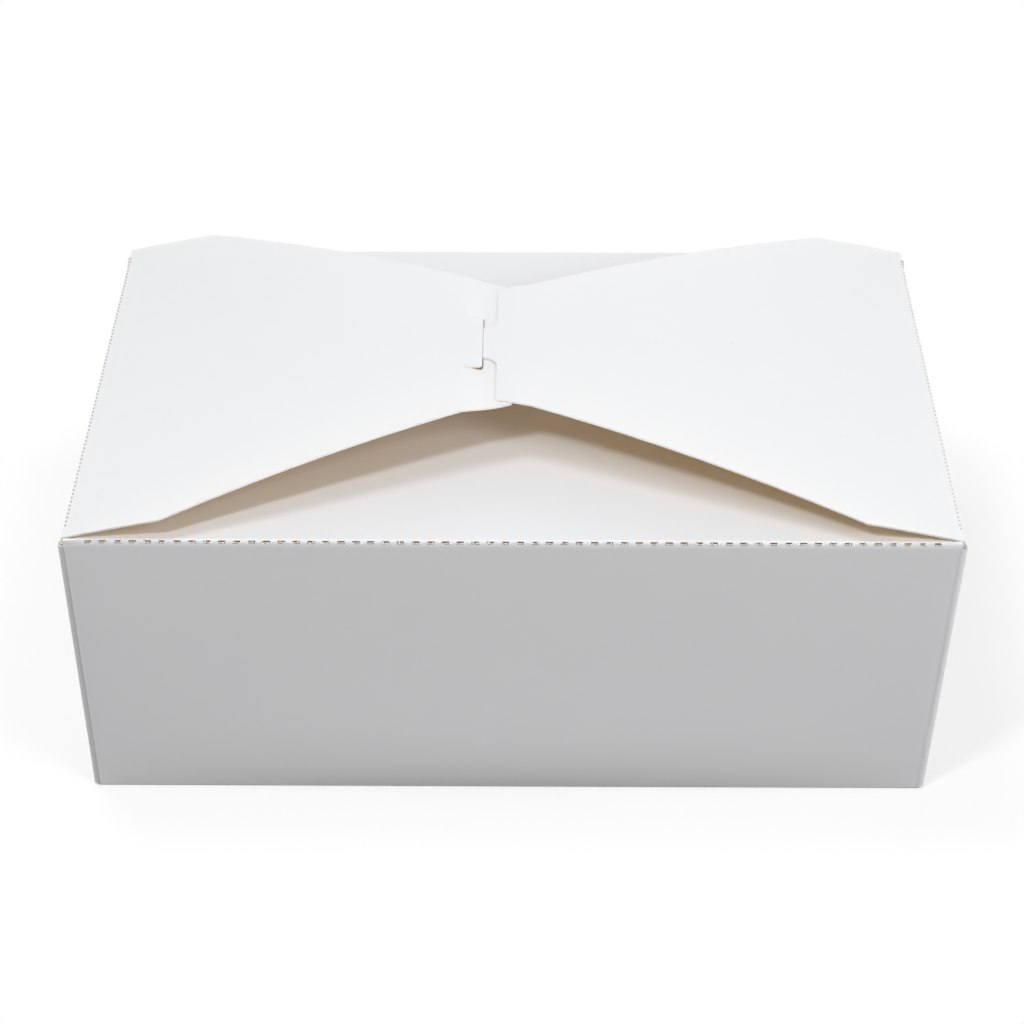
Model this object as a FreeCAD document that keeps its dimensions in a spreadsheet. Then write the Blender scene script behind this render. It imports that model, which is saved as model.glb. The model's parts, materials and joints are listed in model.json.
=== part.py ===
import FreeCAD, Part
import math
import os

# A one-piece takeout food box, folded from a single sheet of paperboard. The frame has its origin at
# the middle of the base's underside, X along the box, Y from the front wall to the back wall and Z up.
# Every size is in millimetres or degrees.

V = FreeCAD.Vector

# Driving dimensions

DIMENSIONS = [
    # The tray, at its rim and its base
    ("rim_length", 218.6, "length at the rim, over the folded webs of both end walls"),
    ("rim_depth", 159.0, "depth at the rim, over the front and back walls"),
    ("rim_height", 75.0, "height of the rim creases above the table"),
    ("wall_inset", 4.7, "how far each wall leans in from the rim to the base"),
    # The board and its folds
    ("board", 0.45, "thickness of the paperboard"),
    ("layer_gap", 0.1, "air between two layers of board that lie on each other"),
    ("crease_radius", 0.6, "outer radius of a square crease"),
    ("corner_roll", 1.6, "outer radius where a web wraps round its corner"),
    ("corner_slit", 0.75, "air between the front wall and the end wall's fold"),
    ("web_angle", 43.0, "angle of a web's folded edge from upright"),
    ("web_drop", 2.0, "how far the webs stop below the rim"),
    ("web_slope", 20.0, "fall of a web's top edge away from its corner"),
    ("hinge_drop", 0.75, "how far the end walls stop below the flap hinges"),
    # The front and back inner flaps
    ("inner_parting", 13.0, "open width between the free edges of the two inner flaps"),
    ("inner_setback", 2.2, "how far an inner flap's root stops short of the crease's end"),
    ("inner_splay", 48.0, "angle of an inner flap's side edge from the crease"),
    ("inner_round", 8.0, "corner radius of an inner flap"),
    ("inner_droop", 2.0, "fall of an inner flap below level"),
    # The end flaps
    ("dome_rise", 12.1, "rise of the right flap above the rim at the box's middle"),
    ("root_gap", 0.8, "from the front wall's face to an end flap's root corner"),
    ("cheek_gap", 0.9, "from the front wall's face to an end flap's widest point"),
    ("cheek_reach", 23.3, "from the hinge to an end flap's widest point"),
    ("slant_end", 37.4, "half width of the left flap where its slanted edge ends"),
    # The lock in the middle of the lid
    ("lip_crease", 12.9, "left flap: crease of the bent lip, left of the middle"),
    ("lip_edge_half", 32.0, "left flap: half width of the lip's free edge"),
    ("lip_round", 2.5, "left flap: corner radius of the lip"),
    ("tab_edge", 8.2, "left flap: free edge of the lock tab, left of the middle"),
    ("tab_half", 14.0, "left flap: half width of the lock tab"),
    ("tab_round", 1.0, "left flap: corner radius of the lock tab"),
    ("slit_width", 0.15, "left flap: width of the cut round the lock tab"),
    ("shoulder_edge", 4.4, "right flap: shoulder edge, left of the middle"),
    ("shoulder_half", 30.6, "right flap: half width at the shoulder's outer corner"),
    ("elbow_offset", 4.2, "right flap: end of the slanted edge, right of the middle"),
    ("elbow_half", 33.6, "right flap: half width at the end of the slanted edge"),
    ("tongue_edge", 20.0, "right flap: free end of the tongue, left of the middle"),
    ("tongue_half", 8.0, "right flap: half width of the tongue"),
    ("tongue_fillet", 4.7, "right flap: radius where the tongue meets the shoulders"),
    ("tongue_round", 4.0, "right flap: corner radius of the tongue's end"),
    # The cut lines that weaken the creases
    ("rim_cut_pitch", 3.57, "pitch of the cuts along the front and back creases"),
    ("rim_cut_length", 1.7, "length of one of those cuts"),
    ("rim_cut_height", 0.5, "height of one of those cuts"),
    ("rim_cut_drop", 0.25, "from the crease's top down to the cuts"),
    ("hinge_cut_pitch", 1.9, "pitch of the cuts along the end flaps' hinges"),
    ("hinge_cut_length", 0.95, "length of one of those cuts"),
    ("hinge_cut_depth", 0.35, "how far a cut reaches into the flap"),
    ("cut_margin", 4.0, "plain crease left at each end of a row of cuts"),
]

doc = FreeCAD.newDocument("takeout_food_box")
sheet = doc.addObject("Spreadsheet::Sheet", "sizes")
for row, (alias, value, note) in enumerate(DIMENSIONS, start=1):
    sheet.set(f"A{row}", note)
    sheet.set(f"B{row}", str(value))
    sheet.setAlias(f"B{row}", alias)
doc.recompute()


def size(alias):
    """One driving dimension, read from the sheet."""
    return float(sheet.get(alias))


# Sizes that follow from the driving dimensions

rim_x = size("rim_length") / 2
rim_y = size("rim_depth") / 2
rim_z = size("rim_height")
inset = size("wall_inset")
board = size("board")
gap = size("layer_gap")
lap = board + gap
lean = math.atan2(inset, rim_z)

# A wall leans, so a level cut through it is a little wider than the board.
board_across = board / math.cos(lean)
gap_across = gap / math.cos(lean)

# Outside each end wall lie the two layers of its webs.
web_stack = 2 * (board_across + gap_across)
hinge_x = rim_x - web_stack - board_across / 2
crease_start = rim_z - size("crease_radius") * (1 + math.sin(lean))
crease_end_x = rim_x - size("corner_roll")
inner_reach = rim_y - size("inner_parting") / 2

# The same values as the sheet's own expressions, for the features that are bound to it
ACROSS = "cos(atan(sizes.wall_inset / sizes.rim_height))"
STACK = f"(2 * (sizes.board + sizes.layer_gap) / {ACROSS})"
LEAN_SINE = "sin(atan(sizes.wall_inset / sizes.rim_height))"
CREASE_START = f"(sizes.rim_height - sizes.crease_radius * (1 + {LEAN_SINE}))"


# Building blocks

def rounded_outline(corners):
    """The edges of a closed outline; each corner is (u, v) or (u, v, radius)."""
    points = [V(c[0], c[1], 0) for c in corners]
    radii = [c[2] if len(c) > 2 else 0 for c in corners]
    ends = []
    for i, point in enumerate(points):
        to_last = (points[i - 1] - point).normalize()
        to_next = (points[(i + 1) % len(points)] - point).normalize()
        if radii[i] == 0:
            ends.append((point, None, point))
            continue
        half_angle = to_last.getAngle(to_next) / 2
        inward = (to_last + to_next).normalize()
        run = radii[i] / math.tan(half_angle)
        middle = point + inward * (radii[i] / math.sin(half_angle) - radii[i])
        ends.append((point + to_last * run, middle, point + to_next * run))
    edges = []
    for i, (start, middle, finish) in enumerate(ends):
        if middle is not None:
            edges.append(Part.Arc(start, middle, finish))
        following = ends[(i + 1) % len(ends)][0]
        if finish.distanceToPoint(following) > 1e-6:
            edges.append(Part.LineSegment(finish, following))
    return edges


def sketch(name, edges, placement=None):
    """A sketch of the given edges, on the XY plane or at a placement."""
    item = doc.addObject("Sketcher::SketchObject", name)
    for edge in edges:
        item.addGeometry(edge, False)
    if placement is not None:
        item.Placement = placement
    return item


def extrusion(name, base, length, both_ways=False):
    """A solid drawn from a sketch along its normal, with its length bound to the sheet."""
    item = doc.addObject("Part::Extrusion", name)
    item.Base = base
    item.DirMode = "Normal"
    item.Solid = True
    item.Symmetric = both_ways
    item.setExpression("LengthFwd", length)
    return item


def boolean(kind, name, first, second):
    """A cut or a common of two document objects."""
    item = doc.addObject(kind, name)
    item.Base = first
    item.Tool = second
    return item


def joined(name, members):
    item = doc.addObject("Part::MultiFuse", name)
    item.Shapes = members
    item.Refine = True
    return item


def feature(name, shape):
    item = doc.addObject("Part::Feature", name)
    item.Shape = shape
    return item


def upright(name, corners):
    """A tall prism over a plan outline, from below the base to above the lid."""
    floor = FreeCAD.Placement(V(0, 0, -rim_z), FreeCAD.Rotation())
    return extrusion(name, sketch(f"{name}_plan", rounded_outline(corners), floor), "3 * sizes.rim_height")


# The side view lies in the XZ plane and the end view in the YZ plane.
SIDE_VIEW = FreeCAD.Placement(V(), FreeCAD.Rotation(V(1, 0, 0), 90))
END_VIEW = FreeCAD.Placement(V(), FreeCAD.Rotation(V(1, 1, 1), 120))


# The tray: base, front and back walls and the two end walls

def tapered_block(name, low, high, stack, shell):
    """A block that leans with the walls: stack and shell set its sides in along X and along both."""
    item = doc.addObject("Part::Wedge", name)
    levels = {"": low, "2": high}
    for mark, level in levels.items():
        lean_in = f"sizes.wall_inset * (1 - ({level}) / sizes.rim_height)"
        along = f"sizes.rim_length / 2 - {lean_in} - ({stack}) - ({shell})"
        across = f"sizes.rim_depth / 2 - {lean_in} - ({shell})"
        item.setExpression(f"X{mark}min", f"-({along})")
        item.setExpression(f"X{mark}max", along)
        item.setExpression(f"Z{mark}min", f"-({across})")
        item.setExpression(f"Z{mark}max", across)
    item.setExpression("Ymin", low)
    item.setExpression("Ymax", high)
    item.Placement = FreeCAD.Placement(V(), FreeCAD.Rotation(V(1, 0, 0), 90))
    return item


SHELL = f"(sizes.board / {ACROSS})"
tray_block = tapered_block("tray_block", "0", CREASE_START, STACK, "0")
tray_hollow = tapered_block("tray_hollow", "sizes.board", "sizes.rim_height", STACK, SHELL)
doc.recompute()

base_creases = doc.addObject("Part::Fillet", "base_creases")
base_creases.Base = tray_block
base_edges = []
for number, edge in enumerate(tray_block.Shape.Edges, start=1):
    if edge.BoundBox.ZMax < 1e-6:
        base_edges.append((number, size("crease_radius"), size("crease_radius")))
base_creases.Edges = base_edges
tray_shell = boolean("Part::Cut", "tray_shell", base_creases, tray_hollow)

# The end walls stop just under the flap hinges, so that a flap can fold right back over them.
inner_half = rim_y - board_across - inset * size("crease_radius") / rim_z
wall_trim = Part.makeBox(
    2 * rim_x, 2 * inner_half, rim_z, V(-rim_x, -inner_half, rim_z - size("hinge_drop"))
)
tray_walls = boolean("Part::Cut", "tray_walls", tray_shell, feature("wall_trim", wall_trim))


# The corners: a web joins each pair of walls, folded flat against the outside of the end wall.
# A corner is drawn in plan from its own sharp outer point: across runs in along X, along runs in
# along Y. The drawing is then drawn out along the leaning corner line.

roll = size("corner_roll")
fold_outer = board_across + gap_across / 2
fold_inner = gap_across / 2
fold_centre = (1.5 * gap_across + 2 * board_across, board_across + size("corner_slit") + fold_outer)
stub_end = max(roll, fold_centre[1]) + board


def corner_point(across, along, level):
    """A point near the front right corner, from its plan place and its height."""
    shift = inset * (1 - level / rim_z)
    return V(rim_x - shift - across, -(rim_y - shift) + along, level)


def corner_prism(steps, low, high):
    """Draw a plan outline of lines and arcs out along the corner line. A step is one or three points."""
    edges = []
    last = None
    for step in steps:
        spots = [corner_point(across, along, low) for across, along in step]
        if last is not None and last.distanceToPoint(spots[0]) > 1e-6:
            edges.append(Part.LineSegment(last, spots[0]).toShape())
        if len(spots) == 3:
            edges.append(Part.Arc(*spots).toShape())
        last = spots[-1]
    first = corner_point(*steps[0][0], low)
    edges.append(Part.LineSegment(last, first).toShape())
    rise = high - low
    return Part.Face(Part.Wire(edges)).extrude(V(inset * rise / rim_z, -inset * rise / rim_z, rise))


def quarter(radius):
    """The wrap of a web round the corner, from the front face to the outer end face."""
    slack = radius * math.sqrt(0.5)
    return [(roll, roll - radius), (roll - slack, roll - slack), (roll - radius, roll)]


def hairpin(radius):
    """The tight fold between the end wall and the web's inner layer."""
    across, along = fold_centre
    return [(across - radius, along), (across, along - radius), (across + radius, along)]


web_top = rim_z - size("web_drop")
wrap = corner_prism(
    [quarter(roll), [(0, stub_end)], [(board_across, stub_end)], quarter(roll - board_across)[::-1]],
    board,
    web_top,
)
fold = corner_prism(
    [
        [(fold_centre[0] - fold_outer, stub_end)],
        hairpin(fold_outer),
        [(fold_centre[0] + fold_outer, stub_end)],
        [(fold_centre[0] + fold_inner, stub_end)],
        hairpin(fold_inner)[::-1],
        [(fold_centre[0] - fold_inner, stub_end)],
    ],
    board,
    web_top,
)


def web_layers():
    """The two layers of a web, joined by a fold that climbs away from the base corner."""
    slant = math.radians(size("web_angle"))
    outward = V(math.cos(lean), 0, -math.sin(lean))
    up_wall = V(math.sin(lean), 0, math.cos(lean))
    along_fold = up_wall * math.cos(slant) + V(0, 1, 0) * math.sin(slant)
    to_corner = up_wall * math.sin(slant) - V(0, 1, 0) * math.cos(slant)
    start = corner_point(board_across + gap_across / 2, stub_end, 0) - along_fold * lap
    outer, inner = board + gap / 2, gap / 2

    def spot(reach, side):
        return start + to_corner * reach + outward * side

    def bend(radius):
        return Part.Arc(spot(0, radius), spot(-radius, 0), spot(0, -radius)).toShape()

    def leg(one, other):
        return Part.LineSegment(spot(*one), spot(*other)).toShape()

    edges = [
        leg((rim_z, outer), (0, outer)),
        bend(outer),
        leg((0, -outer), (rim_z, -outer)),
        leg((rim_z, -outer), (rim_z, -inner)),
        leg((rim_z, -inner), (0, -inner)),
        bend(inner),
        leg((0, inner), (rim_z, inner)),
        leg((rim_z, inner), (rim_z, outer)),
    ]
    layers = Part.Face(Part.Wire(Part.__sortEdges__(edges))).extrude(along_fold * 2 * rim_z)

    # The web ends at the corner's own fold, at the base and at its sloping top edge.
    reach = 2 * web_stack
    block = corner_prism(
        [[(-reach, stub_end)], [(reach, stub_end)], [(reach, rim_y)], [(-reach, rim_y)]], board, web_top
    )
    fall = math.tan(math.radians(size("web_slope")))
    near, far = -rim_y + stub_end, rim_y
    top_cut = Part.Face(Part.makePolygon([
        V(0, near, web_top),
        V(0, far, web_top - fall * (far - near)),
        V(0, far, 2 * rim_z),
        V(0, near, 2 * rim_z),
        V(0, near, web_top),
    ])).extrude(V(2 * rim_x, 0, 0))
    return layers.common(block).cut(top_cut)


web = web_layers()
notch = corner_prism(
    [[(-roll, -roll)], [(roll, -roll)], [(roll, stub_end)], [(-roll, stub_end)]], board, rim_z
)


def at_four_corners(shape):
    """A front right corner's shape and its mirror images."""
    right = [shape, shape.mirror(V(), V(0, 1, 0))]
    return right + [piece.mirror(V(), V(1, 0, 0)) for piece in right]


corner_notches = feature("corner_notches", Part.makeCompound(at_four_corners(notch)))
tray = boolean("Part::Cut", "tray", tray_walls, corner_notches)
corner_pieces = []
for kind, shape in (("wrap", wrap), ("fold", fold), ("web", web)):
    for place, copy in zip(("front_right", "back_right", "front_left", "back_left"), at_four_corners(shape)):
        corner_pieces.append(feature(f"{place}_{kind}", copy))


# The front and back creases and the inner flaps that hang from them

def crease_and_flap_edges():
    """End view of the front crease: a leg of the front wall, the crease's round and the inner flap."""
    droop = math.radians(size("inner_droop"))
    radius = size("crease_radius")
    into_wall = V(math.cos(lean), math.sin(lean), 0)
    down_wall = V(math.sin(lean), -math.cos(lean), 0)
    up_flap = V(math.sin(droop), math.cos(droop), 0)
    along_flap = V(math.cos(droop), -math.sin(droop), 0)
    start = V(-(rim_y - inset * (1 - crease_start / rim_z)), crease_start, 0)
    centre = start + into_wall * radius
    bisector = (up_flap - into_wall).normalize()

    def arc(reach):
        return [centre - into_wall * reach, centre + bisector * reach, centre + up_flap * reach]

    outer, inner = arc(radius), arc(radius - board)
    leg = down_wall * 2 * board
    flap = along_flap * inner_reach
    return [
        Part.LineSegment(outer[0] + leg, outer[0]),
        Part.Arc(*outer),
        Part.LineSegment(outer[2], outer[2] + flap),
        Part.LineSegment(outer[2] + flap, inner[2] + flap),
        Part.LineSegment(inner[2] + flap, inner[2]),
        Part.Arc(*inner[::-1]),
        Part.LineSegment(inner[0], inner[0] + leg),
        Part.LineSegment(inner[0] + leg, outer[0] + leg),
    ]


inner_section = extrusion(
    "inner_section", sketch("inner_section_view", crease_and_flap_edges(), END_VIEW), "sizes.rim_length", True
)
root_x = crease_end_x - size("inner_setback")
root_y = -(rim_y - size("crease_radius"))
tip_y = -(rim_y - inner_reach)
tip_x = root_x - (tip_y - root_y) / math.tan(math.radians(size("inner_splay")))
inner_plan = upright("inner_plan", [
    (-crease_end_x, -rim_y - board), (crease_end_x, -rim_y - board), (crease_end_x, root_y), (root_x, root_y),
    (tip_x, tip_y, size("inner_round")), (-tip_x, tip_y, size("inner_round")), (-root_x, root_y),
    (-crease_end_x, root_y),
])
front_inner_flap = boolean("Part::Common", "front_inner_flap", inner_section, inner_plan)
back_inner_flap = doc.addObject("Part::Mirroring", "back_inner_flap")
back_inner_flap.Source = front_inner_flap
back_inner_flap.Normal = V(0, 1, 0)


# The rows of short cuts that weaken the creases

def cut_row(half_length, pitch, make_cut):
    """Cuts at an even pitch, centred on the crease, with a plain margin at each end."""
    count = max(1, int((2 * half_length - 2 * size("cut_margin")) / pitch))
    places = [pitch * (i - (count - 1) / 2) for i in range(count)]
    return Part.makeCompound([make_cut(place) for place in places])


def rim_cut(place):
    depth = 2 * board
    corner = V(
        place - size("rim_cut_length") / 2,
        -(rim_y - board_across) + gap - depth,
        rim_z - size("rim_cut_drop") - size("rim_cut_height"),
    )
    return Part.makeBox(size("rim_cut_length"), depth, size("rim_cut_height"), corner)


front_cuts = cut_row(crease_end_x, size("rim_cut_pitch"), rim_cut)
rim_cuts = feature("rim_cuts", Part.makeCompound([front_cuts, front_cuts.mirror(V(), V(0, 1, 0))]))

folded_body = joined("folded_body", [tray, front_inner_flap, back_inner_flap] + corner_pieces)
box_body = boolean("Part::Cut", "box_body", folded_body, rim_cuts)


# The end flaps: each is a sheet that rises from its hinge to level at the middle of the box

def dome(rise):
    """Radius and centre height of the arc through the hinge that is level over the middle."""
    radius = (hinge_x ** 2 + rise ** 2) / (2 * rise)
    return radius, rim_z + rise - radius


def dome_height(rise, x, offset=0):
    radius, centre = dome(rise)
    return centre + math.sqrt((radius + offset) ** 2 - x ** 2)


def sheet_edges(rise, free_x):
    """Side view of the left flap's sheet, from its rounded root on the hinge to its free edge."""
    radius, centre = dome(rise)

    def spot(x, offset):
        reach = x * (1 + offset / radius)
        return V(reach, centre + math.sqrt((radius + offset) ** 2 - reach ** 2), 0)

    middle = (free_x - hinge_x) / 2
    root_slope = math.asin(hinge_x / radius)
    root = V(-hinge_x - math.cos(root_slope) * board / 2, rim_z - math.sin(root_slope) * board / 2, 0)
    top, under = board / 2, -board / 2
    return [
        Part.Arc(spot(-hinge_x, under), root, spot(-hinge_x, top)),
        Part.Arc(spot(-hinge_x, top), spot(middle, top), spot(free_x, top)),
        Part.LineSegment(spot(free_x, top), spot(free_x, under)),
        Part.Arc(spot(free_x, under), spot(middle, under), spot(-hinge_x, under)),
    ]


root_half = rim_y - size("root_gap")
cheek = (hinge_x - size("cheek_reach"), rim_y - size("cheek_gap"))
beyond_hinge = hinge_x + board


def mirrored_plan(half_outline):
    """A plan outline from its front half, which runs from the hinge to the free edge."""
    back = [(corner[0], -corner[1], *corner[2:]) for corner in half_outline[::-1]]
    return half_outline + back


def hinge_cut(place):
    """A cut through the left flap's root."""
    width = size("hinge_cut_depth") + board
    return Part.makeBox(
        width, size("hinge_cut_length"), 2 * board,
        V(-hinge_x - board, place - size("hinge_cut_length") / 2, rim_z - board),
    )


left_hinge_cuts = cut_row(root_half, size("hinge_cut_pitch"), hinge_cut)


# The left flap lies on top: its tab covers the right flap's tongue, and the lip round the tab
# bends down to pass under the right flap's shoulders.

left_rise = size("dome_rise") + lap
lip_x = -size("lip_crease")
left_sheet = extrusion(
    "left_sheet",
    sketch("left_sheet_view", sheet_edges(left_rise, -size("tab_edge") + board), SIDE_VIEW),
    "sizes.rim_depth",
    True,
)
left_plan = upright("left_plan", mirrored_plan([
    (-beyond_hinge, -root_half), (-cheek[0], -cheek[1]),
    (lip_x, -size("slant_end")), (lip_x, -size("tab_half")),
    (-size("tab_edge"), -size("tab_half"), size("tab_round")),
]))
left_main = boolean("Part::Common", "left_main", left_sheet, left_plan)


def lip_edges():
    """Side view of the lip: it bends down at its crease, then lies along the right flap's underside."""
    under_right = [V(x, dome_height(size("dome_rise"), x) - lap, 0) for x in (-size("tab_edge"), 0)]
    half = V(0, board / 2, 0)
    corners = [
        V(lip_x, dome_height(left_rise, lip_x, board / 2), 0),
        under_right[0] + half, under_right[1] + half, under_right[1] - half, under_right[0] - half,
        V(lip_x, dome_height(left_rise, lip_x, -board / 2), 0),
    ]
    return [Part.LineSegment(corners[i - 1], corner) for i, corner in enumerate(corners)]


left_lip_section = extrusion(
    "left_lip_section", sketch("left_lip_view", lip_edges(), SIDE_VIEW), "sizes.rim_depth", True
)
window_half = size("tab_half") + size("slit_width")
window_x = -size("tab_edge") + size("slit_width")
left_lip_plan = upright("left_lip_plan", mirrored_plan([
    (lip_x, -window_half), (lip_x, -size("slant_end")), (0, -size("lip_edge_half"), size("lip_round")),
]))
window_plan = upright("window_plan", [
    (lip_x - board, -window_half), (window_x, -window_half, size("tab_round")),
    (window_x, window_half, size("tab_round")), (lip_x - board, window_half),
])
left_lip_whole = boolean("Part::Common", "left_lip_whole", left_lip_section, left_lip_plan)
left_lip = boolean("Part::Cut", "left_lip", left_lip_whole, window_plan)
left_folded = joined("left_folded", [left_main, left_lip])
left_end_flap = boolean(
    "Part::Cut", "left_end_flap", left_folded, feature("left_hinge_cuts", left_hinge_cuts)
)


# The right flap lies between: its tongue goes in under the tab, over the lip.

right_half_plan = [
    (-beyond_hinge, -root_half), (-cheek[0], -cheek[1]), (-size("elbow_offset"), -size("elbow_half")),
    (size("shoulder_edge"), -size("shoulder_half")),
    (size("shoulder_edge"), -size("tongue_half"), size("tongue_fillet")),
    (size("tongue_edge"), -size("tongue_half"), size("tongue_round")),
]

# It is drawn as a left flap and then mirrored.
right_sheet = extrusion(
    "right_sheet",
    sketch("right_sheet_view", sheet_edges(size("dome_rise"), size("tongue_edge") + board), SIDE_VIEW),
    "sizes.rim_depth",
    True,
)
right_plan = upright("right_plan", mirrored_plan(right_half_plan))
right_main = boolean("Part::Common", "right_main", right_sheet, right_plan)
right_drawn = boolean(
    "Part::Cut", "right_drawn", right_main, feature("right_hinge_cuts", left_hinge_cuts.copy())
)
right_end_flap = doc.addObject("Part::Mirroring", "right_end_flap")
right_end_flap.Source = right_drawn
right_end_flap.Normal = V(1, 0, 0)

doc.recompute()


# Check every object, then write one file for each piece that moves on its own

PIECES = {"box_body": box_body, "left_end_flap": left_end_flap, "right_end_flap": right_end_flap}
for item in doc.Objects:
    if "Invalid" in item.State or "Error" in item.State:
        raise RuntimeError(f"{item.Name} did not rebuild: {item.State}")
for label, piece in PIECES.items():
    piece.Label = label
    shape = piece.Shape
    if shape.isNull() or not shape.isValid() or len(shape.Solids) != 1:
        raise RuntimeError(f"{label} is not one valid solid")

os.makedirs("parts", exist_ok=True)
for label, piece in PIECES.items():
    piece.Shape.exportStep(f"parts/{label}.step")
    box = piece.Shape.BoundBox
    print(
        f"{label}: {piece.Shape.Volume:.0f} mm3, {len(piece.Shape.Faces)} faces, "
        f"X {box.XMin:.2f} to {box.XMax:.2f}, Y {box.YMin:.2f} to {box.YMax:.2f}, "
        f"Z {box.ZMin:.2f} to {box.ZMax:.2f}"
    )
print(f"hinge axes at x = {hinge_x:.3f} mm, z = {rim_z:.3f} mm")
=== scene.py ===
# %% [markdown]
# # A folded takeout food box
# The real box is one blank of paperboard, coated white on the outside and left brown on the
# inside. It is creased, folded up, and locked over the top by two end flaps that slot into each
# other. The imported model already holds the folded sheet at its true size, so this lesson loads
# it first and then works on what makes it look like paper.

import json
import math
import random

import bmesh
import bpy
from mathutils import Matrix, Vector
from mathutils.bvhtree import BVHTree


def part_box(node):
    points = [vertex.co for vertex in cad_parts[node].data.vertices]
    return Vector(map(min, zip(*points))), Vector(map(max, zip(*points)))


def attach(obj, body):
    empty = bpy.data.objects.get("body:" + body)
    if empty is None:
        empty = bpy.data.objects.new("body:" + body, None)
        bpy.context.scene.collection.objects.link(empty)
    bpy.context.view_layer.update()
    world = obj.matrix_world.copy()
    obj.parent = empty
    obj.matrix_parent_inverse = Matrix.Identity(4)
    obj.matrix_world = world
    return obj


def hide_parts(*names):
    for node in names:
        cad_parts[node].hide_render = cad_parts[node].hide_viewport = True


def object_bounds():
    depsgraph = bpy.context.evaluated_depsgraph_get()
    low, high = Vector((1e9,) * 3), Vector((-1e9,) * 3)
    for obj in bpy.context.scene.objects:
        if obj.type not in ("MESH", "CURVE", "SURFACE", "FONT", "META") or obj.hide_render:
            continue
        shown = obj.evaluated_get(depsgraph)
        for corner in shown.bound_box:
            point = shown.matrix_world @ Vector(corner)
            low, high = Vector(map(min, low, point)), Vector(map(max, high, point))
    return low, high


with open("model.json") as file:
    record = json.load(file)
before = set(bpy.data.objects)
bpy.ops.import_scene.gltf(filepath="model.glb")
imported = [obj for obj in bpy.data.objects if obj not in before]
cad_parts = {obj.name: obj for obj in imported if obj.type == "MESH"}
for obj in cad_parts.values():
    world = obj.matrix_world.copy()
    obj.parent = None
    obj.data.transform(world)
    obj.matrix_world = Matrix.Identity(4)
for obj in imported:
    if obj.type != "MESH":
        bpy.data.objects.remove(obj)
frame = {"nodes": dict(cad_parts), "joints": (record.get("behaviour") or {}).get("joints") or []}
solid_low, solid_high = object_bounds()
print("size in mm:", [round(1000 * side, 1) for side in solid_high - solid_low])

# %% [markdown]
# ## Sizes that several steps share
# The rim is the highest crease of the box, where the walls stop and the flaps begin. Its height
# is the height of the flaps' hinge, so it is read from the frame. The board is as thick as a
# good drinks carton, and the corners of the box are rolled, not sharp. This box also leans a
# touch to one side, so that its foot stands a little to the left of its rim. Its walls slope in
# towards the foot, and its creases are weakened by short cuts at a steady pitch.

# %% The rim, the board and the lean of the walls
MM = 0.001
hinge = next(joint for joint in frame["joints"] if joint["name"] == "right_flap_hinge")
hinge_x, _, rim_z = hinge["pos_m"]
rim_x = solid_high.x
board = 0.45 * MM
rim_y = solid_high.y
wall_inset = 4.7 * MM
corner_roll = 1.6 * MM
FOOT_SHIFT = 0.9 * MM
CUT_PITCH = 3.57 * MM
CUT_LENGTH = 1.7 * MM
CUT_ROW_END = rim_x - corner_roll - 4 * MM
print(f"rim {2000 * rim_x:.1f} x {2000 * rim_y:.1f} mm at z = {1000 * rim_z:.1f} mm")


# %% [markdown]
# ## Shader maths as plain expressions
# A material is a graph of nodes. Wiring many small Math nodes by hand is hard to read, so this
# class wraps one output socket. Adding, multiplying or dividing wrapped sockets adds the Math
# node for it, and the expression reads like ordinary arithmetic.

# %% A wrapped socket and a small material builder
class Value:
    """One number that varies over a surface, held as the output socket of a node."""

    def __init__(self, paint, socket):
        self.paint = paint
        self.socket = socket

    def __add__(self, other):
        return self.paint.math("ADD", self, other)

    def __sub__(self, other):
        return self.paint.math("SUBTRACT", self, other)

    def __mul__(self, other):
        return self.paint.math("MULTIPLY", self, other)

    def __truediv__(self, other):
        return self.paint.math("DIVIDE", self, other)

    def __rsub__(self, other):
        return self.paint.math("SUBTRACT", other, self)

    __radd__ = __add__
    __rmul__ = __mul__

    def size(self):
        """The distance from zero."""
        return self.paint.math("ABSOLUTE", self)

    def above_zero(self):
        """The value itself where it is above zero, and zero elsewhere."""
        return self.paint.math("MAXIMUM", self, 0.0)

    def fade(self, start, end):
        """A smooth mask that goes from 0 at start to 1 at end."""
        settings = {"interpolation_type": "SMOOTHSTEP"}
        return self.paint.node("ShaderNodeMapRange", settings, {"Value": self, 1: start, 2: end})


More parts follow.
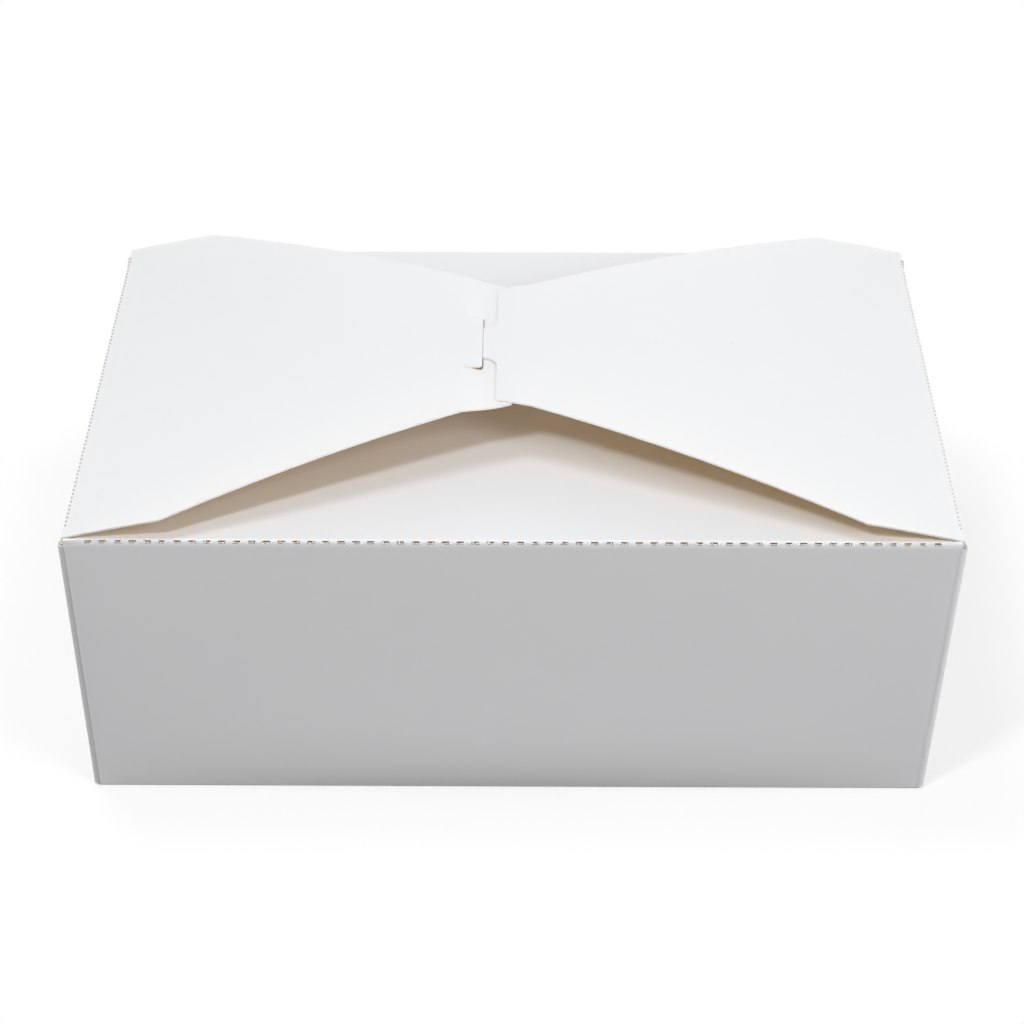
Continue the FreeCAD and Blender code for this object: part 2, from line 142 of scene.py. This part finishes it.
class Paint:
    """The nodes of one material."""

    def __init__(self, name):
        self.material = bpy.data.materials.new(name)
        self.material.use_nodes = True
        self.tree = self.material.node_tree
        self.shader = self.tree.nodes["Principled BSDF"]
        place = self.tree.nodes.new("ShaderNodeTexCoord")
        self.place = Value(self, place.outputs["Object"])

    def feed(self, socket, value):
        if isinstance(value, Value):
            self.tree.links.new(value.socket, socket)
        else:
            socket.default_value = value

    def math(self, operation, first, second=0.0):
        return self.node("ShaderNodeMath", {"operation": operation}, {0: first, 1: second})

    def node(self, kind, settings, inputs, output=0):
        """Add a node: its settings first, then its inputs as numbers or wrapped sockets."""
        made = self.tree.nodes.new(kind)
        for key, value in settings.items():
            setattr(made, key, value)
        for key, value in inputs.items():
            self.feed(made.inputs[key], value)
        return Value(self, made.outputs[output])

    def mix(self, mask, first, second):
        """A colour between two colours."""
        settings = {"data_type": "RGBA"}
        return self.node("ShaderNodeMix", settings, {0: mask, 6: first, 7: second}, output=2)

    def along(self, vector):
        """The three parts of a wrapped vector."""
        split = self.tree.nodes.new("ShaderNodeSeparateXYZ")
        self.feed(split.inputs[0], vector)
        return [Value(self, part) for part in split.outputs]

    def noise(self, grain, detail=2.0, rough=0.5, stretch=(1, 1, 1)):
        """Soft noise from about 0 to 1, with a grain size in metres."""
        scaled = self.node(
            "ShaderNodeVectorMath", {"operation": "MULTIPLY"}, {0: self.place, 1: stretch}
        )
        inputs = {"Vector": scaled, "Scale": 1 / grain, "Detail": detail, "Roughness": rough}
        return self.node("ShaderNodeTexNoise", {}, inputs)

    def bump(self, height):
        """Feed the shader's normal from a height in metres."""
        inputs = {"Height": height, "Distance": 1.0, "Strength": 1.0}
        self.feed(self.shader.inputs["Normal"], self.node("ShaderNodeBump", {}, inputs))

    def let_light_through(self, share, colour):
        """Board is a little translucent: this share of the light passes the face, tinted."""
        glow = self.tree.nodes.new("ShaderNodeBsdfTranslucent")
        glow.inputs["Color"].default_value = colour
        both = self.tree.nodes.new("ShaderNodeMixShader")
        both.inputs[0].default_value = share
        self.tree.links.new(self.shader.outputs[0], both.inputs[1])
        self.tree.links.new(glow.outputs[0], both.inputs[2])
        self.tree.links.new(both.outputs[0], self.tree.nodes["Material Output"].inputs["Surface"])

    def finish(self, colour, roughness, shine=0.3):
        self.feed(self.shader.inputs["Base Color"], colour)
        self.feed(self.shader.inputs["Roughness"], roughness)
        self.shader.inputs["Specular IOR Level"].default_value = shine
        return self.material


# %% [markdown]
# ## The white outside
# The outside of the blank has a thin clay coating. It is nearly smooth, but the fibres under it
# still show as a faint cloudiness and as a very low relief. Beside the rolled corners the coating
# stretches into a low ridge, which a painted highlight makes brighter. Round the short cuts of
# the long creases it has flaked off, and painted shade darkens the open cuts. A few specks of dirt
# lie on the right flap. Each of these is a mask that is worked out from the place on the box, so
# it sits where it should and needs no picture. The board also lets a little light through, which
# a translucent shader adds.

# %% Marks on the coating
BARE_AND_SHADE_LINE = rim_z - 0.64 * MM
SPECK_RADIUS = (0.2 * MM, 0.55 * MM)
SPECKS = [(44.7, 37.3), (36.6, 2.8), (56.9, 6.7), (83.4, -36.5)]


def past_corner_fold(paint):
    """Distance from the fold beside a rolled corner towards the box's end, in metres."""
    x, _, z = paint.along(paint.place)
    foot = 1 - z / rim_z
    return (x + foot * FOOT_SHIFT).size() - (rim_x - corner_roll) + foot * wall_inset


def bare_and_shaded_round_cuts(paint):
    """1 along the short cuts of the long creases: flaked coating, and painted shade of the open
    cuts.
    """
    x, y, z = paint.along(paint.place)
    ragged = (paint.noise(0.35 * MM, detail=2, rough=0.7) - 0.5) * 0.9 * MM
    from_cut = (paint.math("FRACT", x / CUT_PITCH) - 0.5).size() * CUT_PITCH + ragged
    from_line = (z - BARE_AND_SHADE_LINE).size() + ragged * 0.4
    in_row = 1 - x.size().fade(CUT_ROW_END - 0.6 * MM, CUT_ROW_END)
    on_face = y.size().fade(rim_y - 0.9 * MM, rim_y - 0.6 * MM)
    length = 1 - from_cut.fade(0.45 * CUT_LENGTH, 0.60 * CUT_LENGTH)
    height = 1 - from_line.fade(0.24 * MM, 0.38 * MM)
    return length * height * in_row * on_face


def specks_of_dirt(paint):
    """1 in a few faint specks on the right flap, given by their places in mm from the middle."""
    x, y, z = paint.along(paint.place)
    inner, outer = SPECK_RADIUS
    clear = 1.0
    for speck_x, speck_y in SPECKS:
        across = x - speck_x * MM
        along = y - speck_y * MM
        clear = (across * across + along * along).fade(inner**2, outer**2) * clear
    above_rim = z.fade(rim_z + 1 * MM, rim_z + 1.5 * MM)
    return (1 - clear) * above_rim


# %% White coating
def white_coating():
    paint = Paint("white_coating")
    cloud = paint.noise(9 * MM, detail=3)
    fibre = paint.noise(0.7 * MM, detail=3, rough=0.6, stretch=(1, 2.2, 1))
    past = past_corner_fold(paint)
    _, y, z = paint.along(paint.place)
    below_rim = 1 - z.fade(0.97 * rim_z, 0.99 * rim_z)
    on_long_wall = y.size().fade(rim_y - 9 * MM, rim_y - 7 * MM) * below_rim
    ridge_and_highlight = (1 - past.size().fade(0.05 * MM, 0.40 * MM)) * on_long_wall
    falls_away = past.above_zero() * on_long_wall
    shade = (cloud + fibre) * 0.5
    sheet = paint.mix(shade, (0.862, 0.893, 0.925, 1), (0.902, 0.928, 0.955, 1))
    # A painted highlight lightens the coating along the ridge beside the rolled corners; the ridge's
    # relief is in the bump.
    coated = paint.mix(ridge_and_highlight * 0.8, sheet, (0.96, 0.97, 0.98, 1))
    marked = paint.mix(specks_of_dirt(paint) * 0.10, coated, (0.20, 0.18, 0.15, 1))
    # Flaked coating and painted shade darken the short cuts of the long creases.
    colour = paint.mix(bare_and_shaded_round_cuts(paint) * 0.9, marked, (0.25, 0.235, 0.19, 1))
    paint.bump(fibre * 0.010 * MM + cloud * 0.036 * MM + ridge_and_highlight * 0.12 * MM - falls_away * 0.7)
    paint.let_light_through(0.16, (0.98, 0.98, 0.98, 1))
    return paint.finish(colour, cloud * 0.08 + 0.50, shine=0.35)


# %% [markdown]
# ## The brown inside
# The inside is bare kraft board. Long fibres run through it, a few of them dark, and it has next
# to no gloss. Light that passes the board or bounces inside the box turns warm on it, which is
# what colours the gap between the flaps.

# %% Kraft face
def kraft_face():
    paint = Paint("kraft_face")
    streak = paint.noise(2.2 * MM, detail=4, rough=0.65, stretch=(0.35, 2.0, 1.0))
    flock = paint.noise(0.5 * MM, detail=2)
    cloud = paint.noise(14 * MM, detail=2)
    base = paint.mix(streak.fade(0.30, 0.70), (0.54, 0.37, 0.20, 1), (0.70, 0.50, 0.28, 1))
    tone = paint.mix(cloud.fade(0.35, 0.65) * 0.35, base, (0.66, 0.47, 0.25, 1))
    colour = paint.mix(flock.fade(0.66, 0.74) * 0.5, tone, (0.24, 0.13, 0.06, 1))
    paint.bump(streak * 0.04 * MM + flock * 0.025 * MM)
    paint.let_light_through(0.55, (0.92, 0.70, 0.41, 1))
    return paint.finish(colour, flock * 0.10 + 0.82, shine=0.12)


# %% [markdown]
# ## The cut edge
# A die cuts the blank, so its edges show the pulp between the two faces: pale cream fibres, a
# little loose. The edge is less than half a millimetre wide, so fine noise in its colour and
# relief is all that it needs.

# %% Cut edge
def cut_edge():
    paint = Paint("cut_edge")
    fray = paint.noise(0.45 * MM, detail=3, rough=0.7)
    wander = paint.noise(6 * MM, detail=1)
    shade = fray.fade(0.3, 0.7) * 0.7 + wander * 0.3
    colour = paint.mix(shade, (0.70, 0.67, 0.62, 1), (0.92, 0.91, 0.89, 1))
    paint.bump(fray * 0.06 * MM)
    return paint.finish(colour, fray * 0.1 + 0.85, shine=0.1)


finishes = [white_coating(), kraft_face(), cut_edge()]
WHITE, KRAFT, EDGE = range(3)
print("finishes:", ", ".join(m.name for m in finishes))


# %% [markdown]
# ## From a solid to a sheet with two faces
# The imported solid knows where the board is, but not which side is coated. A ray shot into each
# face tells it apart: where the ray leaves again after one board's thickness, the face is one
# of the two broad sides, and where it runs on along the sheet, the face is a cut edge. The
# solid's long flat facets are first sliced at regular steps, so that the sheet can bow a little.

# %% Copy a solid and slice it
def sliced_copy(name, steps, levels=()):
    """A bmesh copy of a CAD node, cut into cells of these steps by axis, and at some heights."""
    work = bmesh.new()
    work.from_mesh(frame["nodes"][name].data)
    bmesh.ops.remove_doubles(work, verts=work.verts, dist=0.001 * MM)
    low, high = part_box(name)
    for axis, step in enumerate(steps):
        count = int((high[axis] - low[axis]) / step) if step else 0
        places = [low[axis] + i * step for i in range(1, count + 1)]
        if axis == 2:
            places += levels
        normal = Vector((axis == 0, axis == 1, axis == 2))
        for place in places:
            everything = work.verts[:] + work.edges[:] + work.faces[:]
            bmesh.ops.bisect_plane(
                work, geom=everything, dist=0.002 * MM, plane_co=normal * place, plane_no=normal
            )
    return work


# %% Tell the broad sides from the cut edges
LONGEST_RAY = 10 * MM
THROUGH_BOARD = (0.3 * board, 1.15 * board)
WALLS_END = 0.8 * rim_z


def board_depth(tree, face):
    """How far a ray goes from a face through the board before it comes out again."""
    start = face.calc_center_median() - face.normal * 0.01 * MM
    *_, distance = tree.ray_cast(start, -face.normal, LONGEST_RAY)
    return LONGEST_RAY if distance is None else distance + 0.01 * MM


def is_outside(face):
    """True on the coated side of the box: away from its middle, and up on the flaps."""
    n = face.normal
    c = face.calc_center_median()
    x, y = (math.copysign(1, c.x), 0) if abs(n.x) > abs(n.y) else (0, math.copysign(1, c.y))
    up = 1 if c.z > WALLS_END else -1
    return n.x * x + n.y * y + n.z * up > 0


def give_faces_their_side(work):
    tree = BVHTree.FromBMesh(work)
    counts = [0, 0, 0]
    for face in work.faces:
        side = WHITE if is_outside(face) else KRAFT
        if not THROUGH_BOARD[0] < board_depth(tree, face) < THROUGH_BOARD[1]:
            side = EDGE
        face.material_index = side
        face.smooth = True
        counts[side] += 1
    return counts


# %% [markdown]
# ## Turn the sheet into an object
# Smooth shading makes the bends round, but across a cut edge it would smear, so every edge
# that is sharper than a gentle bend is marked as sharp.

# %% Make the object
GENTLE_BEND = math.radians(24)


def sheet_object(work, name, body, node):
    for edge in work.edges:
        edge.smooth = edge.is_manifold and edge.calc_face_angle(0) < GENTLE_BEND
    mesh = bpy.data.meshes.new(name)
    work.to_mesh(mesh)
    work.free()
    for finish in finishes:
        mesh.materials.append(finish)
    piece = bpy.data.objects.new(name, mesh)
    bpy.context.scene.collection.objects.link(piece)
    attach(piece, body)
    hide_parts(node)
    return piece


# %% [markdown]
# ## The box body
# Base, four walls, the folded webs of the corners and the two inner flaps are one sheet. Real
# walls are never quite flat. The crease at the foot holds the board back, so the wall swells
# just above it and then runs straight up to the rim, most of all in the middle between the
# stiff corners. Just under the rim the board already starts to bend in towards the crease. Both
# are smooth functions of a point's place, so the points of the sliced copy are moved by them.

# %% How the walls swell and bend
FRONT_SWELL = 1.60 * MM
END_SWELL = 0.25 * MM
SWELL_HEIGHT = 14 * MM


def swell(height, along):
    """How far a wall stands out, from its height and its place along the wall from -1 to 1."""
    share = height / SWELL_HEIGHT
    return share * math.exp(1 - share) * (1 - height / rim_z) * (1 - min(abs(along), 1) ** 2)


ROLL_DEPTH = 0.34 * MM
ROLL_END = 0.98
ROLL_LEVELS = [rim_z - depth * MM for depth in (1.70, 1.35, 1.05, 0.80, 0.60, 0.40, 0.20)]


def roll_in(height):
    """How far the board has already bent inwards below the crease, at a height on the wall."""
    share = (height - ROLL_LEVELS[0]) / (ROLL_LEVELS[-1] - ROLL_LEVELS[0])
    return ROLL_DEPTH * min(max(share, 0.0), 1.0) ** 1.6


def settle_body(point):
    """Move a point of the box as the real, slightly slack board lies."""
    height = min(max(point.z, 0), rim_z)
    foot = 1 - height / rim_z
    across = abs(point.x) / (rim_x - wall_inset * foot)
    along = abs(point.y) / (rim_y - wall_inset * foot)
    out_y = FRONT_SWELL * swell(height, across) * along**12
    if across < ROLL_END:
        out_y -= roll_in(height) * min(max(along - ROLL_END, 0.0) / 0.015, 1.0)
    out_x = END_SWELL * swell(height, along) * across**12
    x = point.x + math.copysign(1, point.x) * out_x - FOOT_SHIFT * foot
    y = point.y + math.copysign(1, point.y) * out_y
    return Vector((max(x, solid_low.x), y, point.z))


# %% Box body
FLAT_LEVELS = [rim_z - depth * MM for depth in (2.5, 2.1)]
body_sheet = sliced_copy("box_body", (12 * MM, 12 * MM, 4 * MM), FLAT_LEVELS + ROLL_LEVELS)
print("faces by side, white, kraft, edge:", give_faces_their_side(body_sheet))
for vert in body_sheet.verts:
    vert.co = settle_body(vert.co)
box_piece = sheet_object(body_sheet, "folded_box", "box", "box_body")

# %% [markdown]
# ## The end flaps
# The two end flaps spring up in the middle, where they hook into each other. The solid's dome
# is made of narrow flats, so each point is set back on the true arc here. The lip of the left
# flap bends down at its crease to pass under the right flap. The solid bends it sharply, and
# away from the lock the real one slopes down more evenly, so its points are raised there.

# %% How the flaps lie
LIP_CREASE = -12.9 * MM
LIP_FOOT = -8.2 * MM
EASY_FOOT = -5.0 * MM
LOCK_HALF = 14.2 * MM
LOCK_BLEND = 6 * MM
LIP_CLEARANCE = 0.1 * MM
RIGHT_RISE = 12.1 * MM
LEFT_RISE = 12.65 * MM
NEAR_LAYER = 0.12 * MM


def arc_height(rise, x, layer=0.0):
    """Height of a flap's middle layer, or of one layer away from it, above a place x."""
    radius = (hinge_x**2 + rise**2) / (2 * rise)
    return rim_z + rise - radius + math.sqrt((radius + layer) ** 2 - x * x)


def settle_flap(point, rise):
    """Put a point of a flap back on the arc between the hinge and the middle of the box."""
    for layer in (board / 2, -board / 2):
        height = arc_height(rise, point.x, layer)
        if abs(point.z - height) < NEAR_LAYER:
            return Vector((point.x, point.y, height))
    return point


def ease_lip(point):
    """Raise a point of the lip from the solid's sharp slope to an even one."""
    if not LIP_CREASE < point.x < EASY_FOOT or abs(point.y) < LOCK_HALF:
        return point
    top = arc_height(LEFT_RISE, LIP_CREASE)
    foot = arc_height(RIGHT_RISE, 0) - board - LIP_CLEARANCE
    sharp = max((LIP_FOOT - point.x) / (LIP_FOOT - LIP_CREASE), 0)
    even = (EASY_FOOT - point.x) / (EASY_FOOT - LIP_CREASE)
    share = math.sqrt(min((abs(point.y) - LOCK_HALF) / LOCK_BLEND, 1))
    return point + Vector((0, 0, (even - sharp) * (top - foot) * share))


# %% End flaps
def end_flap(name, rise, lipped):
    sheet = sliced_copy(name, (2 * MM, 6 * MM, 0))
    print(name, "faces by side:", give_faces_their_side(sheet))
    for vert in sheet.verts:
        on_lip = lipped and vert.co.x > LIP_CREASE
        vert.co = ease_lip(vert.co) if on_lip else settle_flap(vert.co, rise)
    body = name.replace("_end_flap", "_flap")
    return sheet_object(sheet, f"domed_{body}", body, name)


left_piece = end_flap("left_end_flap", LEFT_RISE, True)
right_piece = end_flap("right_end_flap", RIGHT_RISE, False)

# %% [markdown]
# ## Torn fibres at the perforation
# The long creases are weakened by a row of short cuts. When the flaps are folded, the cuts gape
# and the board between them tears a little, so white fibres stand out. Each fibre is a thin flat
# blade here, narrower towards its tip, and each cut gets several of them at random places.

# %% One fibre
CUT_TOP = rim_z - 0.25 * MM
BLADE_RUNGS = ((0, 1.0), (0.4, 0.9), (0.75, 0.6))


def torn_pulp():
    paint = Paint("torn_pulp")
    clump = paint.noise(0.8 * MM, detail=2)
    colour = paint.mix(clump.fade(0.35, 0.65), (0.86, 0.85, 0.83, 1), (0.96, 0.96, 0.95, 1))
    paint.bump(clump * 0.05 * MM)
    return paint.finish(colour, clump * 0.1 + 0.85, shine=0.1)


def fibre(work, root, reach, lean, width, turn):
    """A blade that hangs and leans out: three rungs of a flat strip, then a point."""
    side = Vector((math.cos(turn), 0, math.sin(turn)))
    along = Vector((0.4 * reach * math.sin(turn), math.copysign(lean, root.y), -reach))
    rungs = []
    for down, share in BLADE_RUNGS:
        middle = root + along * down
        rungs.append([work.verts.new(middle + side * width * share * half) for half in (-0.5, 0.5)])
    tip = work.verts.new(root + along)
    for one, other in zip(rungs, rungs[1:]):
        work.faces.new((one[0], one[1], other[1], other[0]))
    work.faces.new((rungs[-1][0], rungs[-1][1], tip))


# %% The rows of fibres
def torn_edge(name):
    """All the fibres of the front and back rows, as one mesh with a little thickness."""
    dice = random.Random(7)
    work = bmesh.new()
    count = int(2 * CUT_ROW_END / CUT_PITCH)
    for side in (-1, 1):
        for i in range(count):
            middle = CUT_PITCH * (i - (count - 1) / 2)
            for _ in range(dice.randint(7, 11)):
                x = middle + dice.choice((-1, 1)) * dice.uniform(0.15, 0.95) * CUT_LENGTH
                z = CUT_TOP - dice.uniform(0.0, 0.65) * MM
                lean = roll_in(z)
                root = Vector((x, side * (rim_y - lean - 0.04 * MM), z))
                reach = dice.uniform(0.15, 0.45) * MM
                width = dice.uniform(0.14, 0.42) * MM
                turn = dice.uniform(-1.2, 1.2)
                fibre(work, root, reach, lean, width, turn)
    mesh = bpy.data.meshes.new(name)
    work.to_mesh(mesh)
    work.free()
    mesh.materials.append(torn_pulp())
    piece = bpy.data.objects.new(name, mesh)
    bpy.context.scene.collection.objects.link(piece)
    thick = piece.modifiers.new("thickness", "SOLIDIFY")
    thick.thickness = 0.05 * MM
    thick.offset = 0
    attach(piece, "box")
    return piece


fibres = torn_edge("torn_fibres")
print("fibre faces:", len(fibres.data.polygons))

# %% [markdown]
# ## The camera
# The photograph looks down at the box by about thirty degrees, from straight in front, with a
# long lens. The camera stands at that distance. Its turn, its look
# down and its roll are in degrees, and the small ones take up that the photograph isn't quite level.

# %% Camera
LENS = 112.58
CAMERA_DISTANCE = 853.6 * MM
TURN = 0.299
LOOK_DOWN = 30.487
ROLL = 0.068


def place_camera():
    target = Vector((-0.56, 0, 36.46)) * MM
    turn, height, roll = (math.radians(angle) for angle in (TURN, LOOK_DOWN, ROLL))
    level = Vector((math.cos(turn), math.sin(turn), 0))
    ahead = Vector((-math.sin(turn), math.cos(turn), 0))
    forward = ahead * math.cos(height) - Vector((0, 0, math.sin(height)))
    above = level.cross(forward)
    right = level * math.cos(roll) + above * math.sin(roll)
    up = above * math.cos(roll) - level * math.sin(roll)
    data = bpy.data.cameras.new("camera")
    data.lens = LENS
    data.sensor_width = 36
    data.clip_start = 0.01
    camera = bpy.data.objects.new("camera", data)
    bpy.context.scene.collection.objects.link(camera)
    place = Matrix((right, up, -forward)).transposed().to_4x4()
    place.translation = target - forward * CAMERA_DISTANCE
    camera.matrix_world = place
    bpy.context.scene.camera = camera
    return camera


camera = place_camera()
print("camera at", [round(v, 4) for v in camera.matrix_world.translation])

# %% [markdown]
# ## Floor and light
# A white object on a white floor needs more light from above than from in front, or it has no
# shape. A lamp high at the front left and one overhead light the lid, a broad one beside the
# camera lights the right of the front, and low ones at both ends and behind lift the other
# walls. The camera sees the floor as white, but for the light that bounces on the box the floor
# is dark grey, so that the front stays darker than the lid. Close to the box the floor keeps a
# part of the shadow.

# %% Floor
RAY_KINDS = ("Camera", "Glossy", "Transmission")
SHADOW_REACH = 45 * MM
PLAIN_WHITE_NEAR = 0.6


def seen_directly(paint):
    """1 where the camera looks straight at a surface, or sees it in a gloss or through glass."""
    kinds = [paint.node("ShaderNodeLightPath", {}, {}, f"Is {kind} Ray") for kind in RAY_KINDS]
    return paint.math("MAXIMUM", paint.math("MAXIMUM", kinds[0], kinds[1]), kinds[2])


def pale_floor():
    """A floor that is plain white away from the box and keeps the shadow near it."""
    paint = Paint("floor_white")
    grain = paint.noise(30 * MM, detail=2)
    seen = seen_directly(paint)
    x, y, _ = paint.along(paint.place)
    beside = (x.size() - rim_x).above_zero()
    before = (y.size() - rim_y).above_zero()
    outside = (beside * beside + before * before).fade(0.0, SHADOW_REACH**2)
    away = (outside * (1 - PLAIN_WHITE_NEAR) + PLAIN_WHITE_NEAR) * seen
    near = paint.mix(grain, (0.93, 0.93, 0.93, 1), (0.95, 0.95, 0.95, 1))
    matt = paint.mix(seen, (0.10, 0.10, 0.10, 1), near)
    colour = paint.mix(away, matt, (0, 0, 0, 1))
    paint.feed(paint.shader.inputs["Emission Color"], paint.mix(away, (0, 0, 0, 1), (1, 1, 1, 1)))
    paint.shader.inputs["Emission Strength"].default_value = 1.0
    material = paint.finish(colour, grain * 0.1 + 0.8, shine=0.0)
    work = bmesh.new()
    bmesh.ops.create_grid(work, x_segments=8, y_segments=8, size=6.0)
    mesh = bpy.data.meshes.new("floor")
    work.to_mesh(mesh)
    work.free()
    mesh.materials.append(material)
    floor = bpy.data.objects.new("floor", mesh)
    floor.location.z = -0.05 * MM
    bpy.context.scene.collection.objects.link(floor)
    return floor


floor = pale_floor()


# %% Lamps
def softbox(name, place, aim, width, power):
    """A square lamp, with its place, aim and width in metres and its power in watts."""
    data = bpy.data.lights.new(name, "AREA")
    data.shape = "SQUARE"
    data.size = width
    data.energy = power
    lamp = bpy.data.objects.new(name, data)
    lamp.location = place
    lamp.rotation_euler = (Vector(aim) - Vector(place)).to_track_quat("-Z", "Y").to_euler()
    bpy.context.scene.collection.objects.link(lamp)
    return lamp


class Sky(Paint):
    """The nodes of the world, built in the same way as a material's."""

    def __init__(self, name):
        self.world = bpy.data.worlds.new(name)
        self.world.use_nodes = True
        self.tree = self.world.node_tree
        self.shader = self.tree.nodes["Background"]


def white_world(strength):
    """A dim, even sky that the camera sees as plain white."""
    sky = Sky("studio")
    level = sky.node("ShaderNodeMapRange", {}, {0: seen_directly(sky), 3: strength, 4: 1.0})
    sky.feed(sky.shader.inputs["Color"], (1, 1, 1, 1))
    sky.feed(sky.shader.inputs["Strength"], level)
    bpy.context.scene.world = sky.world


softbox("front_left", place=(-0.446, -0.714, 1.05), aim=(0, 0, 0.06), width=0.20, power=6.0)
softbox("overhead", place=(-0.34, 0.26, 1.20), aim=(0, 0, 0.06), width=0.42, power=3.5)
softbox("low_right", place=(1.15, -0.10, 0.10), aim=(0.08, 0, 0.05), width=0.35, power=5.0)
softbox("low_left", place=(-1.15, -0.10, 0.20), aim=(-0.08, 0, 0.05), width=0.35, power=2.0)
softbox("by_camera", place=(0.70, -0.76, 0.68), aim=(0.03, 0, 0.05), width=0.50, power=5.3)
softbox("behind", place=(0.10, 1.15, 0.40), aim=(0, 0, 0.05), width=0.50, power=1.8)
white_world(0.34)

# %% [markdown]
# ## Colours as they are written
# Blender can bend colours towards film. Here the Standard view keeps them as they are.

bpy.context.scene.view_settings.view_transform = "Standard"
